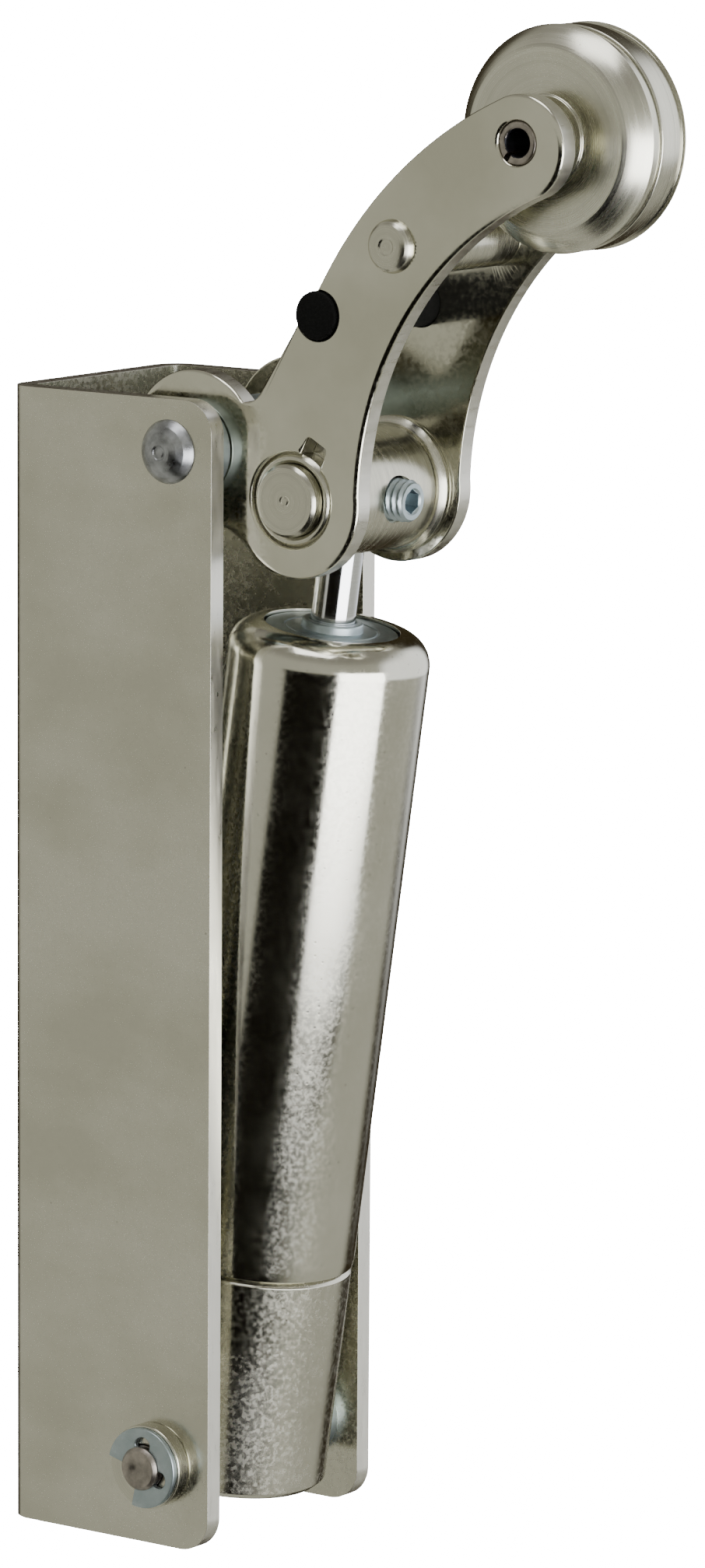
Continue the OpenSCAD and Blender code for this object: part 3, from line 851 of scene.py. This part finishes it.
def build_bushes():
    flange_in_r, flange_r, flange_t, sink = 8.7, 9.5, 1.5, 0.2
    profile = [(JOURNAL_R + FIT, CHEEK_IN - flange_t), (flange_in_r, CHEEK_IN - flange_t),
               (flange_r, CHEEK_IN - 0.7), (flange_r, CHEEK_IN), (BUSH_R, CHEEK_IN),
               (BUSH_R, CHEEK_OUT - 0.8), (BUSH_R - 0.6, CHEEK_OUT - sink),
               (JOURNAL_R + 0.5, CHEEK_OUT - sink), (JOURNAL_R + FIT, CHEEK_OUT - 0.6)]
    turned("bolt_bush_pair", profile, on_y(BOLT), [TURNED], "arm", "nickel_turned",
           "bolt_bushes", both_sides=True)


# ---------------------------------------------------------------- roller

def build_roller():
    flat, shoulder_r, bore_r, hub_r, step_r, step_h = 6.9, 9.1, 4.2, 5.0, 6.1, 0.5
    groove_r, groove_low, groove_high = 14.75, 1.65, 3.7
    tread_end, face_end = Vector((15.2, 3.85)), Vector((12.25, flat))
    hub_end = CHEEK_IN - 0.3
    middle = meet(face_end, shoulder_r, tread_end, shoulder_r, -1)
    shoulder = arc(middle, shoulder_r, angle_of(tread_end, middle), angle_of(face_end, middle), 2)
    profile = [(bore_r, groove_low), (groove_r, groove_low, 0.1), (groove_r, groove_high, 0.05),
               (tread_end.x, groove_high + 0.02, 0.1)]
    profile += [(p.x, p.y, 0) for p in shoulder[:-1]]
    profile += [(face_end.x, face_end.y, 0.15), (step_r, flat, 0.15),
                (step_r, flat + step_h, 0.15), (hub_r, flat + step_h, 0.2),
                (hub_r, hub_end), (bore_r, hub_end)]
    for name, node, mirrored in (("roller_near_turned", "roller_near_half", False),
                                 ("roller_far_turned", "roller_far_half", True)):
        bm = bmesh.new()
        lathe(bm, soften(profile, 0.15), closed=True, segments=192, mirrored=mirrored)
        half = new_object(name, bm, on_y(ROLLER))
        settle(half, [ROLLER_NICKEL], "roller", "nickel_turned", node, sharp=25)
    ring_r, ring_in_r, ring_half = 15.1, 11.05, 1.6
    turned("roller_ring_turned", sleeve(ring_r, ring_in_r, -ring_half, ring_half),
           on_y(ROLLER), [ROLLER_NICKEL], "roller", "nickel_turned", "roller_ring",
           segments=192, rim=0.3)


# ---------------------------------------------------------------- cross bolt and rod

def screw_place():
    """The clamping screw's axis: it starts on the bolt's axis and points out of the barrel."""
    return (Matrix.Translation(mm(BOLT.x, 0, BOLT.y))
            @ Matrix.Rotation(TAU / 4 + math.radians(SCREW_TURN), 4, "Y"))


def build_cross_bolt():
    barrel_r, barrel_end, end, chamfer = 8.6, CHEEK_IN - 1.7, CHEEK_OUT + 1.4, 0.45
    profile = [(0, end), (chamfer, end), (0.6, end - 0.12), (0.8, end),
               (JOURNAL_R - chamfer, end), (JOURNAL_R, end - chamfer), (JOURNAL_R, barrel_end),
               (barrel_r - 0.5, barrel_end), (barrel_r, barrel_end - 0.5), (barrel_r, 0)]
    bm = bmesh.new()
    smooth = soften(profile, 0.12, closed=False)
    whole = smooth + [Vector((p.x, -p.y)) for p in smooth[-2::-1]]
    lathe(bm, whole, segments=160)
    bolt = new_object("cross_bolt_turned", bm, on_y(BOLT))
    cut(bolt, cylinder_tool(ROD_R + FIT, EYE_DIST - 20, EYE_DIST + 6), on_cylinder())
    bm = bmesh.new()
    hole_r, mouth = 3.02, 0.95
    lathe(bm, [(0, 0), (hole_r, 0), (hole_r, barrel_r - 0.9),
               (hole_r + mouth, barrel_r + 0.2), (0, barrel_r + 0.2)], segments=96)
    cut(bolt, bm, screw_place())
    settle(bolt, [TURNED], "rod", "nickel_turned", "cross_bolt", sharp=30)


def build_set_screw():
    """Socket screw with a helical thread, open hexagon and chamfered end."""
    low, high, outer, depth, pitch, around = ROD_R + 0.1, ROD_R + 7.65, 2.95, 0.42, 1.0, 48
    rows = int((high - low) / pitch * 14)
    bm = bmesh.new()
    rings = []
    for i in range(rows + 1):
        along = low + (high - low) * i / rows
        ring = []
        for j in range(around):
            phase = (along / pitch - j / around) % 1.0
            wave = abs(2 * phase - 1)
            end_cut = max(0.0, 1 - (high - along) / 0.5) * 0.45
            start_cut = max(0.0, 1 - (along - low) / 0.5) * 0.45
            reach = min(outer - depth * min(1.0, wave * 1.25), outer - end_cut - start_cut)
            turn = TAU * j / around
            ring.append((reach * math.cos(turn), reach * math.sin(turn), along))
        rings.append(add_ring(bm, ring))
    for a, b in zip(rings, rings[1:]):
        bridge(bm, a, b)
    bm.faces.new(rings[0])
    bm.faces.new(rings[-1])
    screw = new_object("set_screw_threaded", bm, screw_place())
    across_corners = 3 / math.cos(TAU / 12)
    bm = bmesh.new()
    lathe(bm, [(0, ROD_R + 4.5), (across_corners / 2, ROD_R + 4.5), (across_corners / 2, 12),
               (0, 12)], segments=6)
    cut(screw, bm, screw_place())
    bm = bmesh.new()
    lathe(bm, [(0, high - 0.25), (across_corners / 2 - 0.1, high - 0.25),
               (across_corners / 2 + 0.25, high + 0.1), (0, high + 0.1)], segments=48)
    cut(screw, bm, screw_place())
    settle(screw, [ZINC], "rod", "zinc", "set_screw", sharp=35)


def build_rod():
    low, shoulder, high, end_r = 44.0, 58.0, EYE_DIST + 5, 2.5
    profile = [(0, low), (end_r, low), (end_r, shoulder), (ROD_R, shoulder), (ROD_R, high),
               (0, high)]
    turned("piston_rod_ground", profile, on_cylinder(), [CHROME], "rod", "hard_chrome",
           "piston_rod", closed=False)


# ---------------------------------------------------------------- cylinder

def build_tube():
    low, roll = CAP_TOP + 0.2, TUBE_R - MOUTH_R - 0.2
    inner_roll = roll - TUBE_WALL
    profile = [(BORE_R, low, 0.1), (TUBE_R - 0.15, low, 0.1), (TUBE_R, low + 1.2, 1.0)]
    shoulder = arc((TUBE_R - roll, TUBE_TOP - roll), roll, 0, 90, 5)
    profile += [(p.x, p.y, 0) for p in shoulder]
    profile += [(MOUTH_R, TUBE_TOP, 0.25), (MOUTH_R, TUBE_TOP - TUBE_WALL, 0.15)]
    inside = arc((TUBE_R - roll, TUBE_TOP - roll), inner_roll, 90, 0, 8)
    profile += [(p.x, p.y, 0) for p in inside]
    turned("cylinder_tube_drawn", profile, on_cylinder(), [POLISHED], "cylinder",
           "nickel_polished", "cylinder_tube", segments=192)


def build_base_cap():
    cap_r, low, spigot, eye_r = 13.8, -4.5, 37.0, 4.4
    profile = [(0, low), (cap_r - 0.9, low, 0.3), (cap_r, low + 0.9, 0.3),
               (cap_r, CAP_TOP - 0.7), (cap_r - 0.7, CAP_TOP), (BORE_R - 0.05, CAP_TOP, 0),
               (BORE_R - 0.05, spigot), (0, spigot)]
    bm = bmesh.new()
    lathe(bm, soften(profile, 0.15, closed=False), segments=192)
    cap = new_object("base_cap_turned", bm, on_cylinder())
    cut(cap, cylinder_tool(eye_r, -30, 30), on_cylinder() @ Matrix.Rotation(TAU / 4, 4, "X"))
    settle(cap, [CAP_NICKEL], "cylinder", "nickel_turned", "base_cap", sharp=32)


def build_gland():
    low, face, disc_r, line_r = TUBE_TOP - 2, TUBE_TOP - 0.4, MOUTH_R - 0.25, 6.4
    collar_r, collar_h = 4.2, 1.2
    profile = [(ROD_R + FIT, low), (disc_r, low), (disc_r, face), (line_r + 0.2, face, 0.1),
               (line_r, face - 0.15, 0.1), (line_r - 0.2, face, 0.1),
               (collar_r + 0.1, face, 0.1), (collar_r, face + collar_h, 0.3),
               (ROD_R + FIT, face + collar_h)]
    turned("gland_disc_turned", profile, on_cylinder(), [ZINC], "cylinder", "zinc",
           "gland_disc")


def build_spring():
    """Closing spring inside the tube."""
    coil_r, wire_r, turns, low, high = 8.4, 1.1, 7, 59.3, 101.8
    around, per_turn, keep = 12, 40, 0.61
    bm = bmesh.new()
    steps = turns * per_turn
    rings = []
    for i in range(steps + 1):
        turn = TAU * turns * i / steps
        ring = []
        for j in range(around):
            side = TAU * j / around
            reach = coil_r + wire_r * math.cos(side)
            lift = low + (high - low) * i / steps + wire_r * math.sin(side)
            ring.append((reach * math.cos(turn), reach * math.sin(turn), lift))
        rings.append(add_ring(bm, ring))
    for a, b in zip(rings, rings[1:]):
        bridge(bm, a, b)
    bm.faces.new(rings[0])
    bm.faces.new(rings[-1])
    place = on_cylinder()
    spring = new_object("closing_spring_wound", bm, place)
    settle(spring, [STEEL], "cylinder", "dark_steel", "closing_spring")
    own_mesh(spring)


# ---------------------------------------------------------------- studio

# Turns and lifts are in degrees, distances in millimetres.
CAMERA_TURN, CAMERA_LIFT, CAMERA_ROLL = 35.866, 9.347, 0.387
CAMERA_DISTANCE = 1013.831
CAMERA_TARGET = (45.62, 0.0, 26.515)
LENS = 169.73
DARK_FROM, DARK_TO = -14.0, 48.0
BACKDROP_AT, SHADE_AT = 145.0, -145.0
WALL = (0.55, 0.545, 0.47)
DARK = (0.008, 0.007, 0.005)
BACKDROP = (1.7, 1.72, 1.75)
SHADE = (0.036, 0.027, 0.012)
CEILING = (0.34, 0.33, 0.29)
WINDOW = (8.0, 8.0, 8.0)


def towards(turn, lift):
    """Unit vector from the object: turn 0 is the near side, 90 the side away from the door."""
    a, e = math.radians(turn), math.radians(lift)
    return Vector((math.sin(a) * math.cos(e), -math.cos(a) * math.cos(e), math.sin(e)))


def build_camera():
    back = towards(CAMERA_TURN, CAMERA_LIFT)
    right = Vector((math.cos(math.radians(CAMERA_TURN)), math.sin(math.radians(CAMERA_TURN)), 0))
    up = back.cross(right)
    roll = math.radians(CAMERA_ROLL)
    across = right * math.cos(roll) + up * math.sin(roll)
    upward = up * math.cos(roll) - right * math.sin(roll)
    data = bpy.data.cameras.new("camera")
    data.lens = LENS
    data.clip_end = 50
    camera = bpy.data.objects.new("camera", data)
    bpy.context.scene.collection.objects.link(camera)
    place = Matrix((across, upward, back)).transposed().to_4x4()
    place.translation = mm(*CAMERA_TARGET) + back * mm(CAMERA_DISTANCE)
    camera.matrix_world = place
    bpy.context.scene.camera = camera


def softbox(name, turn, lift, distance, width, height, watts):
    """Rectangular soft light aimed at the object. Sizes and distance are in millimetres."""
    data = bpy.data.lights.new(name, "AREA")
    data.shape = "RECTANGLE"
    data.size, data.size_y = mm(width), mm(height)
    data.energy = watts
    light = bpy.data.objects.new(name, data)
    bpy.context.scene.collection.objects.link(light)
    direction = towards(turn, lift)
    light.location = mm(*CAMERA_TARGET) + direction * mm(distance)
    light.rotation_mode = "QUATERNION"
    light.rotation_quaternion = direction.to_track_quat("Z", "Y")


def card(name, turn, lift, distance, width, height, brightness, fade):
    """A card that only reflections see. Its light rises between two shares of its height."""
    bm = bmesh.new()
    corners = [(-width / 2, -height / 2, 0), (width / 2, -height / 2, 0),
               (width / 2, height / 2, 0), (-width / 2, height / 2, 0)]
    bm.faces.new(add_ring(bm, corners))
    direction = towards(turn, lift)
    place = direction.to_track_quat("Z", "Y").to_matrix().to_4x4()
    place.translation = mm(*CAMERA_TARGET) + direction * mm(distance)
    board = new_object(name, bm, place)
    material = bpy.data.materials.new(name)
    material.use_nodes = True
    n = Nodes(material.node_tree)
    n.tree.nodes.clear()
    on_card = n.node("ShaderNodeTexCoord").outputs["Generated"]
    height_share = n.node("ShaderNodeSeparateXYZ", Vector=on_card).outputs["Y"]
    glow = n.node("ShaderNodeEmission", Color=(*brightness, 1.0),
                  Strength=n.rise(height_share, *fade))
    n.node("ShaderNodeOutputMaterial", Surface=glow.outputs[0])
    board.data.materials.append(material)
    board.visible_camera = False
    board.visible_shadow = False
    board.visible_diffuse = False
    material.cycles.emission_sampling = "NONE"


def build_floor():
    """Pale sweep: a floor under the object that is large enough to fill the view."""
    size, drop = 9000, 0.4
    low = HOUSING_LOW.z - drop
    bm = bmesh.new()
    bm.faces.new(add_ring(bm, [(-size, -size, low), (size, -size, low),
                               (size, size, low), (-size, size, low)]))
    floor = new_object("floor", bm, Matrix())
    material = bpy.data.materials.new("floor")
    material.use_nodes = True
    surface = material.node_tree.nodes["Principled BSDF"]
    surface.inputs["Base Color"].default_value = (0.9, 0.9, 0.9, 1)
    surface.inputs["Roughness"].default_value = 0.9
    surface.inputs["Specular IOR Level"].default_value = 0.0
    surface.inputs["Emission Color"].default_value = (1, 1, 1, 1)
    surface.inputs["Emission Strength"].default_value = 24.0
    floor.data.materials.append(material)
    floor.visible_glossy = False
    floor.visible_diffuse = False


def build_world():
    """The studio round the object: low dark behind the camera, beige walls, pale backdrop."""
    world = bpy.data.worlds.new("studio")
    world.use_nodes = True
    n = Nodes(world.node_tree)
    direction = n.node("ShaderNodeTexCoord").outputs["Generated"]
    split = n.node("ShaderNodeSeparateXYZ", Vector=direction)
    x, y, z = (split.outputs[axis] for axis in "XYZ")

    def facing(turn_at, low, high):
        aim = n.node("ShaderNodeVectorMath", {"operation": "DOT_PRODUCT"})
        n.put(aim.inputs[0], direction)
        n.put(aim.inputs[1], towards(turn_at, 0))
        return n.rise(aim.outputs["Value"], low, high)

    turn = n.math("ARCTAN2", x, n.math("MULTIPLY", y, -1))
    start, full = (math.radians(a) for a in (DARK_FROM, DARK_TO))
    enters = n.rise(turn, start - 0.05, start + 0.05)
    leaves = n.rise(turn, full + 0.9, full)
    dark = n.math("MULTIPLY", enters, leaves)
    low_dark = n.math("MULTIPLY", dark, n.rise(z, 0.06, -0.04))
    backdrop = n.math("MULTIPLY", facing(BACKDROP_AT, 0.62, 0.80), n.rise(z, -0.30, -0.18))
    colour = n.mix(low_dark, WALL, DARK)
    colour = n.mix(facing(SHADE_AT, 0.50, 0.75), colour, SHADE)
    colour = n.mix(backdrop, colour, BACKDROP)
    colour = n.mix(n.rise(z, 0.45, 0.80), colour, CEILING)
    n.put(n.tree.nodes["Background"].inputs["Color"], colour)
    bpy.context.scene.world = world


def build_lights():
    softbox("top", turn=20, lift=78, distance=900, width=500, height=500, watts=3)
    card("window_right", turn=76, lift=-9.0, distance=580, width=600, height=420,
         brightness=WINDOW, fade=(0.02, 0.22))


finish_cad_nodes()
build_camera()
build_world()
build_lights()
build_floor()
build_housing()
build_pivot()
build_lower_pin()
build_clip()
build_cheeks()
build_arm_pins()
build_roller_pin()
build_bushes()
build_roller()
build_cross_bolt()
build_set_screw()
build_rod()
build_tube()
build_base_cap()
build_gland()
build_spring()
